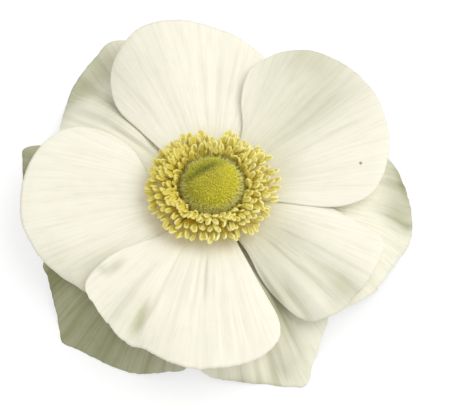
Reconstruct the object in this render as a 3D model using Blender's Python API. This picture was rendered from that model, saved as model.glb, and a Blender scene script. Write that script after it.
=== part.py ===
"""A white anemone flower head, cut just below the flower and lying face up.

Metres, +Z up.  The flower's own axis is the Z axis, and the cut stem ends at z = 0.
Ten thin tepals stand in two whorls round a small receptacle.  Above them is a ring of
stamens, in groups that share a foot, and a domed head of carpels in the middle.
"""
import math
import random

import bmesh
import bpy
from mathutils import Vector

MM = 0.001
CENTRE = (0.75, 1.53)      # middle of the outline seen from the flower axis, in mm

# --- driving sizes, in millimetres ----------------------------------------------------
GAP = 0.3                 # clear space between a piece and the seat it grows from

STUB_R = 1.6              # cut stem
STUB_TOP = 3.6            # where the stem starts to widen
CUP_R = 4.5               # receptacle, where the tepals are set
CUP_LOW = 5.9
CUP_HIGH = 9.15
SHELF_R = 6.75            # flat top that carries the stamens and the dome
SHELF_TOP = 9.6

TEPAL_R0 = CUP_R + GAP    # inner end of every tepal
TEPAL_THICK = 0.38
TEPAL_RIM = 0.24          # thickness at the free edge
TEPAL_ACROSS = 15         # grid steps across a tepal
TEPAL_ALONG = 10          # grid steps along a tepal
REST = 0.2                # mid-height of a tepal where it lies on the ground

DOME_R = 5.35
DOME_LOW = SHELF_TOP + GAP
DOME_WIDE = 12.9          # height of the widest ring
DOME_TOP = 17.2

FOOT_LOW = SHELF_TOP + GAP
FOOT_TOP = FOOT_LOW + 0.35
FOOT_R = (5.05, 5.5, 5.95, 6.4, 6.85)     # radial limits of the four rows of cells
GROUPS = 18               # feet round the ring
COLUMNS = 2               # stamens across a foot
ROWS = (                  # anther middle: radius, height, lean from upright in degrees
    (6.75, 14.5, 32.0),
    (8.45, 14.6, 50.0),
    (10.1, 13.7, 68.0),
    (11.55, 12.4, 84.0),
)
FILAMENT_R = 0.16
ANTHER_LONG = 1.8
ANTHER_WIDE = 0.6        # half width, round the flower
ANTHER_DEEP = 0.45        # half depth

# --- tepals -----------------------------------------------------------------------------
# centre, claw: azimuth of the narrow inner end and its half width, in degrees.
# base: height of the inner end.  crest: rise just outside it.  drop, bend: fall towards
# the tip and how late it comes.  sides: fall of the first and the second long edge.
# line: the free edge as (azimuth, radius), from the first long edge round the tip to the
# second.  corners: the entries of line where the tip begins and ends.
# folds: radial waves as (azimuth, half width in degrees, height).
TEPALS = {
    "tepal_inner_top": dict(
        centre=100, claw=24, base=7.9, crest=1.7, drop=1.9, bend=2.0, sides=(1.6, 0.5),
        line=((136, 14.5), (133, 19.5), (134, 25), (131, 28.5), (125, 33.5), (118, 37.3),
              (111, 39.4), (104, 39.3), (96, 38), (86, 35.7), (77, 33.1), (72, 31.5),
              (67, 27.5), (64, 21), (65, 14)),
        corners=(5, 11), folds=((88, 3.5, -0.35), (104, 7, 0.3), (76, 4, -0.3))),
    "tepal_inner_right": dict(
        centre=33, claw=24, base=8.65, crest=1.5, drop=-0.9, bend=1.6, sides=(-0.5, 0.5),
        line=((66, 13.5), (74, 19.5), (75.5, 23), (74.5, 26.6), (70.5, 29.6), (64, 32.7),
              (55, 35.3), (44, 36.9), (34, 36.6), (25, 35.6), (16, 34.3), (7, 32.1),
              (-1, 29.2), (-6, 24.7), (-8.5, 18), (-8, 12.5)),
        corners=(4, 11), folds=((41, 9, -1.1), (56, 5, 0.35), (14, 9, 0.4))),
    "tepal_inner_lower_right": dict(
        centre=325, claw=24, base=7.9, crest=1.5, drop=2.0, bend=1.8, sides=(0.4, 1.5),
        line=((-8, 15), (-9, 21), (-10, 25), (-11, 28.2), (-13, 31.5), (-16.5, 33),
              (-22, 33.3), (-30, 33.3), (-37, 33), (-45, 33), (-52, 31.8),
              (-55.5, 30), (-58, 27.6), (-60.5, 23.2), (-62, 19), (-61, 12.7)),
        corners=(5, 11), folds=((-27, 4, 0.5), (-36, 4.5, -1.0), (-46, 5, 1.1))),
    "tepal_inner_bottom": dict(
        centre=264, claw=24, base=8.65, crest=1.2, drop=1.2, bend=1.8, sides=(1.2, -0.2),
        line=((-65, 12), (-64.5, 18), (-64, 23), (-64, 27.2), (-65, 29.5),
              (-67.5, 31.5), (-73, 33.5), (-81, 34.6), (-90, 35.1), (-97, 35.2),
              (-104, 34.5), (-111, 33.7), (-117, 33.8), (-124, 32.8), (-133, 31.2),
              (-140.5, 30), (-143, 28), (-145, 23), (-143.5, 18.5), (-137, 13)),
        corners=(4, 14), folds=((-112, 3, -0.6), (-121, 5, 0.5), (-96, 4, -0.25))),
    "tepal_inner_left": dict(
        centre=182, claw=24, base=7.9, crest=1.5, drop=2.4, bend=1.7, sides=(1.0, 1.3),
        line=((222, 14), (224, 19), (224.5, 25.5), (221, 29.5), (215, 30.6), (209.5, 31.9),
              (202, 33.5), (195, 34.6), (188, 35.5), (181, 35.6), (173, 35.3),
              (167, 34.8), (160, 33.8), (154, 32.3), (149, 29.5), (146, 25.5),
              (145, 20.6), (147, 17.5), (152, 15), (159, 12.5)),
        corners=(5, 13), folds=((168, 8, 0.25), (196, 5, -0.2))),
    "tepal_outer_upper_left": dict(
        centre=136, claw=20, base=7.1, crest=0.8, drop=8.0, bend=1.9, sides=(-0.4, 0.6),
        line=((160, 14), (162, 22), (157, 29.5), (150, 33.3), (143, 35.3), (137, 37.4),
              (130, 39.3), (123, 40.9), (118, 42.3), (113, 41), (108, 38.3),
              (106, 30.5), (113, 20)),
        corners=(3, 10), folds=((126, 7, -0.8), (139, 6, 0.7))),
    "tepal_outer_left": dict(
        centre=175, claw=20, base=6.35, crest=0.6, drop=8.2, bend=1.9, sides=(0.6, 0.6),
        line=((197, 16), (196, 25), (189, 31), (183, 33.5), (176, 35.5),
              (167, 36.6), (162, 37.7), (158.5, 38.4), (155.5, 36), (153, 28),
              (155, 16)),
        corners=(2, 8), folds=((170, 8, 0.5),)),
    "tepal_outer_lower_left": dict(
        centre=229, claw=20, base=7.1, crest=0.7, drop=7.9, bend=1.9, sides=(0.4, 0.4),
        line=((262, 16), (265, 24), (265, 29.6), (261.5, 32.8), (257, 33.6), (251, 34.7),
              (245, 35.5), (240, 35.8), (235, 36.2), (229, 36.7), (223.5, 37.8),
              (220, 36.6), (215, 35.1), (210, 34.1), (205, 33.4), (199, 33), (195, 25),
              (198, 16)),
        corners=(3, 15), folds=((214, 7, 0.6), (240, 8, -0.5), (252, 5, 0.4))),
    "tepal_outer_lower_right": dict(
        centre=291, claw=20, base=6.35, crest=0.6, drop=7.6, bend=2.0, sides=(0.9, 0.6),
        line=((321, 16), (318, 26), (313.5, 31), (310, 32.1), (307, 33.2),
              (304, 34.5), (300.5, 36), (297.5, 38.2), (295.5, 38.8), (292, 37.7),
              (287, 36.1), (281, 35), (274, 34.1), (269, 33.4), (265.8, 32.3),
              (263, 29), (266, 22), (265, 15)),
        corners=(2, 14), folds=((288, 3.5, -0.9), (295, 4, 0.8), (278, 5, 0.4))),
    "tepal_outer_right": dict(
        centre=343, claw=20, base=7.1, crest=0.7, drop=7.7, bend=1.9, sides=(0.2, -0.3),
        line=((23, 16), (24, 26), (22.5, 33), (18, 35.6), (12, 36.5), (4, 37.1),
              (-4.5, 37.5), (-10, 37.1), (-15, 35.9), (-20, 35.2), (-26, 34.6),
              (-31, 34), (-38, 32.8), (-42, 31.9), (-46, 31), (-48, 25), (-46, 15)),
        corners=(2, 14), folds=((-4, 4, -0.8), (5, 6, 0.5), (-14, 6, 0.5))),
}

# --- colours: linear red, green, blue, then roughness -----------------------------------
COLOURS = {
    "cream_tepal": (0.87, 0.84, 0.68, 0.55),
    "green_tepal": (0.70, 0.71, 0.50, 0.6),
    "yellow_anther": (0.72, 0.50, 0.07, 0.6),
    "green_carpel": (0.33, 0.31, 0.05, 0.75),
    "green_stalk": (0.22, 0.30, 0.10, 0.6),
}


def clear_scene():
    for obj in list(bpy.data.objects):
        bpy.data.objects.remove(obj, do_unlink=True)


def material(name):
    found = bpy.data.materials.get(name)
    if found:
        return found
    red, green, blue, rough = COLOURS[name]
    mat = bpy.data.materials.new(name)
    mat.use_nodes = True
    shader = mat.node_tree.nodes["Principled BSDF"]
    shader.inputs["Base Color"].default_value = (red, green, blue, 1.0)
    shader.inputs["Roughness"].default_value = rough
    return mat


def finish(bm, name, mat_name, smooth=True):
    """Turn a bmesh given in millimetres into a named object."""
    for vert in bm.verts:
        vert.co = (vert.co - Vector((*CENTRE, 0.0))) * MM
    bmesh.ops.recalc_face_normals(bm, faces=bm.faces)
    mesh = bpy.data.meshes.new(name)
    bm.to_mesh(mesh)
    bm.free()
    for poly in mesh.polygons:
        poly.use_smooth = smooth
    mesh.materials.append(material(mat_name))
    obj = bpy.data.objects.new(name, mesh)
    bpy.context.scene.collection.objects.link(obj)
    return obj


def ease(value):
    value = max(0.0, min(1.0, value))
    return value * value * (3.0 - 2.0 * value)


def polar(azimuth, radius):
    angle = math.radians(azimuth)
    return (radius * math.cos(angle), radius * math.sin(angle))


def turn(azimuth, centre):
    """Signed angle in degrees from centre to azimuth."""
    return (azimuth - centre + 180.0) % 360.0 - 180.0


# --- curves -----------------------------------------------------------------------------
def curve_through(points, steps=12):
    """Centripetal Catmull-Rom curve, as one list of samples per span between points."""
    pts = [Vector(p) for p in points]
    pts = [2 * pts[0] - pts[1]] + pts + [2 * pts[-1] - pts[-2]]
    spans = []
    for i in range(1, len(pts) - 2):
        p0, p1, p2, p3 = pts[i - 1:i + 3]
        t1 = math.sqrt((p1 - p0).length)
        t2 = t1 + math.sqrt((p2 - p1).length)
        t3 = t2 + math.sqrt((p3 - p2).length)
        span = []
        for k in range(steps + 1):
            t = t1 + (t2 - t1) * k / steps
            a1 = p0 * ((t1 - t) / t1) + p1 * (t / t1)
            a2 = p1 * ((t2 - t) / (t2 - t1)) + p2 * ((t - t1) / (t2 - t1))
            a3 = p2 * ((t3 - t) / (t3 - t2)) + p3 * ((t - t2) / (t3 - t2))
            b1 = a1 * ((t2 - t) / t2) + a2 * (t / t2)
            b2 = a2 * ((t3 - t) / (t3 - t1)) + a3 * ((t - t1) / (t3 - t1))
            span.append(b1 * ((t2 - t) / (t2 - t1)) + b2 * ((t - t1) / (t2 - t1)))
        spans.append(span)
    return spans


def even_samples(spans, count):
    """Points at even distances along joined spans."""
    line = [spans[0][0]]
    for span in spans:
        line.extend(span[1:])
    lengths = [0.0]
    for a, b in zip(line, line[1:]):
        lengths.append(lengths[-1] + (b - a).length)
    result = []
    j = 0
    for i in range(count + 1):
        want = lengths[-1] * i / count
        while j < len(line) - 2 and lengths[j + 1] < want:
            j += 1
        part = (want - lengths[j]) / max(1e-9, lengths[j + 1] - lengths[j])
        result.append(line[j].lerp(line[j + 1], min(1.0, part)))
    return result


# --- tepals -----------------------------------------------------------------------------
def tepal_grid(shape):
    """Plan positions of a tepal's grid: rows from the inner end to the tip."""
    side = 1.0 if turn(shape["line"][0][0], shape["centre"]) > 0 else -1.0
    first = polar(shape["centre"] + side * shape["claw"], TEPAL_R0)
    last = polar(shape["centre"] - side * shape["claw"], TEPAL_R0)
    points = [first] + [polar(*p) for p in shape["line"]] + [last]
    spans = curve_through(points)
    a, b = shape["corners"]
    edge_a = even_samples(spans[:a + 1], TEPAL_ALONG)
    tip = even_samples(spans[a + 1:b + 1], TEPAL_ACROSS)
    edge_b = even_samples(spans[b + 1:], TEPAL_ALONG)[::-1]
    foot = []
    for i in range(TEPAL_ACROSS + 1):
        part = 1.0 - 2.0 * i / TEPAL_ACROSS
        foot.append(Vector(polar(shape["centre"] + side * shape["claw"] * part, TEPAL_R0)))
    rows = []
    for j in range(TEPAL_ALONG + 1):
        v = j / TEPAL_ALONG
        row = []
        for i in range(TEPAL_ACROSS + 1):
            u = i / TEPAL_ACROSS
            ruled = foot[i] * (1 - v) + tip[i] * v + edge_a[j] * (1 - u) + edge_b[j] * u
            corners = (foot[0] * ((1 - u) * (1 - v)) + foot[-1] * (u * (1 - v))
                       + tip[0] * ((1 - u) * v) + tip[-1] * (u * v))
            row.append((ruled - corners, u, v))
        rows.append(row)
    return rows


def tepal_height(shape, place, u, v):
    """Height of a tepal's middle surface."""
    radius = place.length
    azimuth = math.degrees(math.atan2(place.y, place.x))
    height = shape["base"] + shape["crest"] * ease((radius - TEPAL_R0) / 12.0)
    height -= shape["drop"] * (max(0.0, radius - 12.0) / 24.0) ** shape["bend"]
    across = 2.0 * u - 1.0
    side = shape["sides"][0] if across < 0 else shape["sides"][1]
    height -= side * abs(across) ** 2.5 * ease(v * 1.5)
    for where, width, rise in shape["folds"]:
        wave = math.exp(-(turn(azimuth, where) / width) ** 2)
        height += rise * wave * ease((radius - 9.0) / 16.0)
    over = (height - REST) / 0.3
    return REST + 0.3 * (math.log1p(math.exp(over)) if over < 30 else over)


def make_tepal(name, shape, mat_name):
    bm = bmesh.new()
    top = []
    low = []
    for row in tepal_grid(shape):
        top_row = []
        low_row = []
        for place, u, v in row:
            middle = tepal_height(shape, place, u, v)
            inside = ease(min(u, 1 - u, 1 - v) / 0.12)
            half = 0.5 * (TEPAL_RIM + (TEPAL_THICK - TEPAL_RIM) * inside)
            top_row.append(bm.verts.new((place.x, place.y, middle + half)))
            low_row.append(bm.verts.new((place.x, place.y, middle - half)))
        top.append(top_row)
        low.append(low_row)
    for j in range(TEPAL_ALONG):
        for i in range(TEPAL_ACROSS):
            bm.faces.new((top[j][i], top[j][i + 1], top[j + 1][i + 1], top[j + 1][i]))
            bm.faces.new((low[j][i], low[j + 1][i], low[j + 1][i + 1], low[j][i + 1]))
    ring = [(0, i) for i in range(TEPAL_ACROSS)]
    ring += [(j, TEPAL_ACROSS) for j in range(TEPAL_ALONG)]
    ring += [(TEPAL_ALONG, i) for i in range(TEPAL_ACROSS, 0, -1)]
    ring += [(j, 0) for j in range(TEPAL_ALONG, 0, -1)]
    for (j0, i0), (j1, i1) in zip(ring, ring[1:] + ring[:1]):
        bm.faces.new((top[j0][i0], top[j1][i1], low[j1][i1], low[j0][i0]))
    return finish(bm, name, mat_name)


# --- turned bodies ----------------------------------------------------------------------
def turned(bm, profile, sides, wobble=None):
    """Close a profile of (radius, height), which starts and ends on the axis."""
    rings = []
    for index, (radius, height) in enumerate(profile):
        if radius == 0:
            rings.append([bm.verts.new((0, 0, height))])
            continue
        ring = []
        for k in range(sides):
            angle = 2 * math.pi * k / sides
            grown = radius * (wobble(angle, index) if wobble else 1.0)
            ring.append(bm.verts.new((grown * math.cos(angle), grown * math.sin(angle),
                                      height)))
        rings.append(ring)
    for lower, upper in zip(rings, rings[1:]):
        for k in range(sides):
            n = (k + 1) % sides
            corners = [lower[k % len(lower)], lower[n % len(lower)],
                       upper[n % len(upper)], upper[k % len(upper)]]
            unique = []
            for vert in corners:
                if vert not in unique:
                    unique.append(vert)
            bm.faces.new(unique)


def make_receptacle():
    bm = bmesh.new()
    profile = ((0, 0), (STUB_R, 0), (STUB_R, 0.5 * STUB_TOP), (STUB_R * 1.05, STUB_TOP),
               (2.6, 0.5 * (STUB_TOP + CUP_LOW)), (CUP_R * 0.93, CUP_LOW - 0.3),
               (CUP_R, CUP_LOW), (CUP_R, CUP_HIGH), (SHELF_R, CUP_HIGH + 0.08),
               (SHELF_R, SHELF_TOP), (0, SHELF_TOP))
    turned(bm, profile, 28)
    return finish(bm, "receptacle_with_stem_stub", "green_stalk", smooth=False)


def make_dome():
    bm = bmesh.new()
    profile = [(0, DOME_LOW)]
    for k in range(4):
        part = k / 4
        rise = DOME_LOW + (DOME_WIDE - DOME_LOW) * part
        profile.append((DOME_R * (0.8 + 0.2 * math.sin(part * math.pi / 2)), rise))
    for k in range(6):
        angle = k / 6 * math.pi / 2
        rise = DOME_WIDE + (DOME_TOP - DOME_WIDE) * math.sin(angle)
        profile.append((DOME_R * math.cos(angle) ** 0.85, rise))
    profile.append((0, DOME_TOP))

    def ridges(angle, index):
        return 1.0 + 0.02 * math.cos(9 * angle + index)

    turned(bm, profile, 28, ridges)
    return finish(bm, "carpel_dome", "green_carpel")


# --- stamens ----------------------------------------------------------------------------
def ring_of(bm, middle, side, depth, wide, deep):
    """Six points round middle: side and depth are unit vectors."""
    ring = []
    for k in range(6):
        angle = math.radians(30 + 60 * k)
        offset = side * (wide * math.cos(angle)) + depth * (deep * math.sin(angle))
        ring.append(bm.verts.new(middle + offset))
    return ring


def join_rings(bm, lower, upper):
    for k in range(6):
        n = (k + 1) % 6
        bm.faces.new((lower[k], lower[n], upper[n], upper[k]))


def grow_stamen(bm, corners, azimuth, row, rng):
    """Grow one stamen out of a cell of the foot, whose four top corners are given."""
    radius, height, lean = ROWS[row]
    radius += rng.uniform(-0.12, 0.12)
    height += rng.uniform(-0.3, 0.3)
    lean = math.radians(lean + rng.uniform(-6, 6))
    facing = azimuth + rng.uniform(-0.6, 0.6)
    # the filament, from the foot up to the neck of the anther
    outward = Vector((*polar(azimuth, 1.0), 0.0))
    around = Vector((-outward.y, outward.x, 0.0))
    base = outward * (0.5 * (FOOT_R[row] + FOOT_R[row + 1])) + Vector((0, 0, FOOT_TOP))
    rings = [ring_of(bm, base, around, -outward, FILAMENT_R * 1.2, FILAMENT_R)]
    outward = Vector((*polar(facing, 1.0), 0.0))
    around = Vector((-outward.y, outward.x, 0.0))
    along = outward * math.sin(lean) + Vector((0, 0, 1)) * math.cos(lean)
    deep = along.cross(around)
    neck = outward * radius + Vector((0, 0, height)) - along * (0.5 * ANTHER_LONG)
    rings.append(ring_of(bm, neck, around, deep, FILAMENT_R, FILAMENT_R))
    # the anther, no wider than its share of its row
    wide = min(ANTHER_WIDE, 0.4 * 2 * math.pi * radius / (GROUPS * COLUMNS))
    for part, size in ((0.25, 1.0), (0.75, 0.92), (1.0, 0.45)):
        place = neck + along * (ANTHER_LONG * part)
        rings.append(ring_of(bm, place, around, deep, wide * size, ANTHER_DEEP * size))
    for lower, upper in zip(rings, rings[1:]):
        join_rings(bm, lower, upper)
    bm.faces.new(rings[-1])
    # the cell's own top, between its corners and the filament
    foot = rings[0]
    inner_a, outer_a, outer_b, inner_b = corners
    bm.faces.new((inner_b, inner_a, foot[2], foot[1], foot[0]))
    bm.faces.new((inner_a, outer_a, foot[3], foot[2]))
    bm.faces.new((outer_a, outer_b, foot[5], foot[4], foot[3]))
    bm.faces.new((outer_b, inner_b, foot[0], foot[5]))


def make_stamen_group(number, rng):
    """One foot, a piece of the ring, with its stamens, as a single closed body."""
    step = 360.0 / GROUPS
    middle = number * step
    bm = bmesh.new()
    top = []
    low = []
    for radius in FOOT_R:
        half = 0.5 * step - math.degrees(0.5 * GAP / radius)
        top_row = []
        low_row = []
        for k in range(COLUMNS + 1):
            x, y = polar(middle - half + 2 * half * k / COLUMNS, radius)
            top_row.append(bm.verts.new((x, y, FOOT_TOP)))
            low_row.append(bm.verts.new((x, y, FOOT_LOW)))
        top.append(top_row)
        low.append(low_row)
    rows = len(FOOT_R) - 1
    for j in range(rows):
        stagger = 1.6 if j % 2 else -1.6
        for k in range(COLUMNS):
            bm.faces.new((low[j][k], low[j][k + 1], low[j + 1][k + 1], low[j + 1][k]))
            azimuth = middle + step * ((k + 0.5) / COLUMNS - 0.5) + stagger
            corners = (top[j][k], top[j + 1][k], top[j + 1][k + 1], top[j][k + 1])
            grow_stamen(bm, corners, azimuth, j, rng)
    ring = [(0, k) for k in range(COLUMNS)]
    ring += [(j, COLUMNS) for j in range(rows)]
    ring += [(rows, k) for k in range(COLUMNS, 0, -1)]
    ring += [(j, 0) for j in range(rows, 0, -1)]
    for (j0, k0), (j1, k1) in zip(ring, ring[1:] + ring[:1]):
        bm.faces.new((top[j0][k0], top[j1][k1], low[j1][k1], low[j0][k0]))
    return finish(bm, "stamen_group_%02d" % (number + 1), "yellow_anther", smooth=False)


def main():
    clear_scene()
    rng = random.Random(7)
    make_receptacle()
    for name, shape in TEPALS.items():
        make_tepal(name, shape, "green_tepal" if "outer" in name else "cream_tepal")
    make_dome()
    for number in range(GROUPS):
        make_stamen_group(number, rng)


main()
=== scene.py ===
"""The look of a white anemone flower head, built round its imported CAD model."""
import math
import random

import bpy
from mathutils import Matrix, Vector, noise


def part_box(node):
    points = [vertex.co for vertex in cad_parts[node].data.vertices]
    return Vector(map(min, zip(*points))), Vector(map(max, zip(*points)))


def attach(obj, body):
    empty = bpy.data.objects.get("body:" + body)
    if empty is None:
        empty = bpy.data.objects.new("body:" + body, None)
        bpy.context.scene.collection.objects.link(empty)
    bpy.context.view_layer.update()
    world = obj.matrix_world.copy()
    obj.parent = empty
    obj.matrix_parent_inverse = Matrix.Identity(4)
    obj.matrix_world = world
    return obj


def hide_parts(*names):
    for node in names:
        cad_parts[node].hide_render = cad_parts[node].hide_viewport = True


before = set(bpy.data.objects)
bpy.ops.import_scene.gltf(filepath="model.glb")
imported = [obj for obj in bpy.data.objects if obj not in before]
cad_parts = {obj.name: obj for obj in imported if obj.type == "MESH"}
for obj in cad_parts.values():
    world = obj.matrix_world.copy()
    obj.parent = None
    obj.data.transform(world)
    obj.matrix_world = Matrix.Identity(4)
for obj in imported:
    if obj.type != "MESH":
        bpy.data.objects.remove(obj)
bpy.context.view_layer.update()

MM = 0.001
SEED = 11

# --- sizes, in millimetres and degrees round the flower's own axis -----------------------
RECEPTACLE = "receptacle_with_stem_stub"
DOME = "carpel_dome"
AXIS = 0.5 * (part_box(RECEPTACLE)[0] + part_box(RECEPTACLE)[1])
AXIS.z = 0.0

TEPAL_R0 = 4.8            # radius of every tepal's inner end
TEPAL_THICK = 0.34
TEPAL_RIM = 0.12          # thickness at the edge
RIM_PART = 0.06           # part of a tepal's width in which it thins to its edge
TEPAL_ACROSS = 96         # grid steps across a tepal
TEPAL_ALONG = 52          # grid steps along a tepal
REST = 0.2                # mid-height of a tepal where it lies on the ground
REST_BLEND = 0.3          # how softly a tepal comes down to that height
CREST_RUN = 12.0          # a tepal's crest rises over this distance from its inner end
DROP_START = 12.0         # its fall towards the tip begins at this radius
DROP_RUN = 24.0           # and reaches the stated drop this much further out
FOLD_START, FOLD_RUN = 9.0, 16.0        # folds grow from this radius, over this distance
WRINKLE_START, WRINKLE_RUN = 7.0, 12.0  # the same for the ribs and dimples
TINT_START, TINT_RUN = 7.0, 4.5         # the tint of the tepals' feet fades like this
RAG_COARSE, RAG_FINE = 0.2, 0.14        # height of the waves and notches in the free edge
CREASE_SHADE = 0.8        # darkening in a crease, for each millimetre of its depth
SPECK = (11.7, 28.1)      # blemish on the right inner tepal: azimuth, radius
SPECK_SIZE = 0.38

DOME_R = 4.8
DOME_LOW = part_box(DOME)[0].z / MM
DOME_WIDE = 12.9          # height of its widest level
DOME_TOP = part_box(DOME)[1].z / MM
DOME_CLOSE = 0.998        # rise of its last ring, just short of 1 at the top
COLLAR = 0.75             # how far the collar round its foot stands out at the near side
CREST_AT, CREST_RISE = 0.5, 0.25      # place across the dome's crest, and height
FURROW_AT, FURROW_DEPTH = 1.9, 0.4    # the same for the furrow behind it, and depth
CARPELS = 900
BUD_ROOM = 0.5            # the dome's skin stays this far below its top, for the buds
BUD_THICK = 0.2           # half a bud's thickness at its foot
BUD_LONG = (0.45, 0.8)    # shortest and longest
HAIRS = 4200
HAIR_THICK = 0.05         # half a hair's thickness at its foot
HAIR_LONG = 0.5
FRINGE_LONG = 1.7         # length of the hairs in the fringe
FRINGE_SHARE = 0.35       # part of the hairs that stand in the fringe round the dome
ROOTED = 0.1              # how deep buds and stamens stand in what carries them

GROUPS = 18
GROUP_GAP = 2.8           # degrees between the pads of two groups
FOOT_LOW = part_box("stamen_group_01")[0].z / MM
FOOT_TOP = 10.25
FOOT_IN, FOOT_OUT = 5.05, 6.85        # radii of the pads that the stamens stand on
STAND_IN, STAND_OUT = 6.05, 6.55      # radii between which the stamens stand on them
ROWS = (                  # stamens in a group; anther middle: radius, height, lean
    (4, 6.6, 13.5, 18.0),
    (3, 7.9, 14.5, 38.0),
    (4, 9.0, 14.4, 52.0),
    (4, 10.2, 13.6, 64.0),
    (4, 11.4, 12.4, 78.0),
)
RING_FLAT = 0.09          # how much narrower the ring of stamens is along Y
RING_IN = 6.65            # least radius of an anther's middle
CLUMP = 0.9               # how far chance pushes a clump of anthers out or in
NEAR_OUT, NEAR_DOWN = 0.8, 0.7        # shift of the innermost row at the near side
RING_TUFTS = (            # tufts and gaps in the ring: azimuth, half width, reach
    (118, 6, 1.0), (102, 5, 1.2), (87, 6.5, -3.0), (71, 6, 1.3), (21, 5, -1.2), (12, 4, 0.7),
    (7, 2.5, -0.6), (1, 4, 0.5), (-52, 6, 0.4), (-75, 6, -0.6), (-126, 7, 0.5),
)
ANTHER_LONG = 1.95
ANTHER_WIDE = 0.49        # half its width
ANTHER_DEEP = 0.41        # half its depth
FILAMENT_FOOT = 0.2       # half the filament's thickness at its foot
FILAMENT_NECK = 0.14      # and at the anther

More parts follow.
